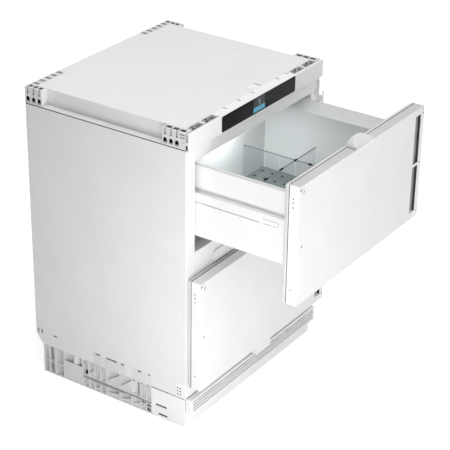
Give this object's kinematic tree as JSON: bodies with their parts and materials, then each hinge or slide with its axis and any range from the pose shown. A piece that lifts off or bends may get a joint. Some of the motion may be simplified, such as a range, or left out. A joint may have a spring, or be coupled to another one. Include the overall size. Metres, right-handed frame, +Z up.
{
  "type": "undercounter drawer refrigerator",
  "caption": "Built-in undercounter refrigerator with insulated drawers on telescopic rails, a control fascia, and a cooling machine in its base.",
  "frame": {"origin": "on the floor, under the middle of the cabinet, in the underside of its base", "axes": "+Z up; the drawers open towards -Y; +X to the right of someone facing the drawers"},
  "size_m": [0.595, 0.8035, 0.82],
  "materials": {
    "grey_painted_steel": "satin",
    "white_painted_steel": "satin",
    "white_plastic": "satin",
    "grey_plastic": "matte",
    "zinc_steel": "satin",
    "black_glass": "polished",
    "tub_plastic": "gloss",
    "clear_plastic": "gloss",
    "mat_rubber": "matte",
    "gasket_rubber": "matte",
    "foam": "matte",
    "fin_aluminium": "satin",
    "compressor_shell": "satin",
    "black_plastic": "matte",
    "lamp_plastic": "gloss"
  },
  "bodies": {
    "cabinet": {"side_panel_left": "grey_painted_steel", "side_panel_right": "grey_painted_steel", "corner_block_front_left": "grey_plastic", "corner_block_front_right": "grey_plastic", "corner_block_rear_left": "grey_plastic", "corner_block_rear_right": "grey_plastic", "lower_corner_left": "white_plastic", "lower_corner_right": "white_plastic", "base_side_cover_left": "grey_plastic", "base_side_cover_right": "grey_plastic", "back_panel": "zinc_steel", "top_cover": "grey_painted_steel", "inner_liner": "white_plastic", "insulation_foam": "foam", "front_frame": "white_plastic", "middle_rail": "white_plastic", "control_fascia": "white_plastic", "display_glass": "black_glass", "base_frame": "grey_plastic", "vent_grille": "grey_plastic", "plinth_panel": "white_plastic", "evaporator_cover": "white_plastic", "evaporator": "fin_aluminium", "led_lamp": "lamp_plastic", "compressor": "compressor_shell", "drip_tray": "black_plastic", "condenser": "fin_aluminium", "condenser_fan_shroud": "black_plastic", "power_inlet": "black_plastic", "upper_rail_fixed_left": "zinc_steel", "upper_rail_fixed_right": "zinc_steel", "lower_rail_fixed_left": "zinc_steel", "lower_rail_fixed_right": "zinc_steel"},
    "upper_drawer": {"upper_front_panel": "white_painted_steel", "upper_front_foam": "foam", "upper_front_inner_panel": "white_plastic", "upper_gasket": "gasket_rubber", "upper_tub": "tub_plastic", "upper_side_left": "white_painted_steel", "upper_side_right": "white_painted_steel", "upper_floor_mat": "mat_rubber", "upper_divider_long": "clear_plastic", "upper_divider_cross": "clear_plastic"},
    "upper_middle_rails": {"upper_rail_middle_left": "zinc_steel", "upper_rail_middle_right": "zinc_steel"},
    "lower_drawer": {"lower_front_panel": "white_painted_steel", "lower_front_foam": "foam", "lower_front_inner_panel": "white_plastic", "lower_gasket": "gasket_rubber", "lower_tub": "tub_plastic", "lower_side_left": "white_painted_steel", "lower_side_right": "white_painted_steel"},
    "lower_middle_rails": {"lower_rail_middle_left": "zinc_steel", "lower_rail_middle_right": "zinc_steel"},
    "condenser_fan": {"condenser_fan_rotor": "black_plastic"},
    "evaporator_fan": {"evaporator_fan_rotor": "white_plastic"},
    "levelling_foot_front_left_body": {"levelling_foot_front_left": "black_plastic"},
    "levelling_foot_front_right_body": {"levelling_foot_front_right": "black_plastic"},
    "levelling_foot_rear_left_body": {"levelling_foot_rear_left": "black_plastic"},
    "levelling_foot_rear_right_body": {"levelling_foot_rear_right": "black_plastic"}
  },
  "joints": [
    {"name": "upper_drawer_slide", "type": "slide", "parent": "cabinet", "child": "upper_drawer", "axis": [0, -1, 0], "range_m": [-0.27, 0.13]},
    {"name": "upper_middle_rails_slide", "type": "slide", "parent": "cabinet", "child": "upper_middle_rails", "axis": [0, -1, 0], "range_m": [-0.135, 0.065]},
    {"name": "lower_drawer_slide", "type": "slide", "parent": "cabinet", "child": "lower_drawer", "axis": [0, -1, 0], "range_m": [0, 0.4]},
    {"name": "lower_middle_rails_slide", "type": "slide", "parent": "cabinet", "child": "lower_middle_rails", "axis": [0, -1, 0], "range_m": [0, 0.2]},
    {"name": "condenser_fan_spin", "type": "hinge", "parent": "cabinet", "child": "condenser_fan", "pos_m": [0.0083, 0.14, 0.076], "axis": [1, 0, 0], "continuous": true},
    {"name": "evaporator_fan_spin", "type": "hinge", "parent": "cabinet", "child": "evaporator_fan", "pos_m": [0.15, 0.1686, 0.64], "axis": [0, 1, 0], "continuous": true},
    {"name": "levelling_foot_front_left_screw", "type": "slide", "parent": "cabinet", "child": "levelling_foot_front_left_body", "axis": [0, 0, 1], "range_m": [-0.05, 0]},
    {"name": "levelling_foot_front_right_screw", "type": "slide", "parent": "cabinet", "child": "levelling_foot_front_right_body", "axis": [0, 0, 1], "range_m": [-0.05, 0]},
    {"name": "levelling_foot_rear_left_screw", "type": "slide", "parent": "cabinet", "child": "levelling_foot_rear_left_body", "axis": [0, 0, 1], "range_m": [-0.05, 0]},
    {"name": "levelling_foot_rear_right_screw", "type": "slide", "parent": "cabinet", "child": "levelling_foot_rear_right_body", "axis": [0, 0, 1], "range_m": [-0.05, 0]}
  ],
  "couplings": [
    {"joint": "upper_middle_rails_slide", "follows": "upper_drawer_slide", "ratio": 0.5},
    {"joint": "lower_middle_rails_slide", "follows": "lower_drawer_slide", "ratio": 0.5}
  ]
}
